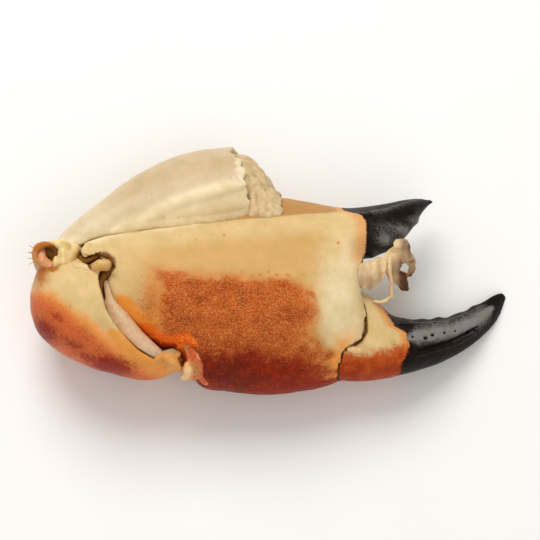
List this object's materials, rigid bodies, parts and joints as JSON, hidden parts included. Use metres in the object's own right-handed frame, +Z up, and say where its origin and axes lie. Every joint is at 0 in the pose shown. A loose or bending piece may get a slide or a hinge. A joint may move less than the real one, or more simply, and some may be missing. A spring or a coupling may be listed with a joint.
{
  "type": "cooked crab claw",
  "caption": "Cooked brown crab claw with its wrist segment and broken-off upper arm, granular orange-brown shell, black blunt-toothed fingers, lying with its outer face up.",
  "frame": {"origin": "centre of the footprint at the height of the surface that the claw lies on", "axes": "+X from the wrist towards the finger tips, +Y from the moving finger's side towards the fixed finger's side, +Z up, which is the way the shown outer face looks"},
  "size_m": [0.1636, 0.0888, 0.0435],
  "materials": {
    "palm": "semi-gloss granular shell",
    "moving_finger": "satin black shell",
    "wrist_piece": "semi-gloss shell",
    "arm_shell": "semi-gloss shell",
    "arm_meat": "moist fibrous meat",
    "wrist_membrane": "moist skin",
    "elbow_membrane": "moist skin",
    "torn_membrane": "torn moist skin"
  },
  "bodies": {
    "root": {"palm": "palm", "moving_finger": "moving_finger", "wrist_piece": "wrist_piece", "arm_shell": "arm_shell", "arm_meat": "arm_meat", "wrist_membrane": "wrist_membrane", "elbow_membrane": "elbow_membrane", "torn_membrane": "torn_membrane"}
  },
  "joints": []
}
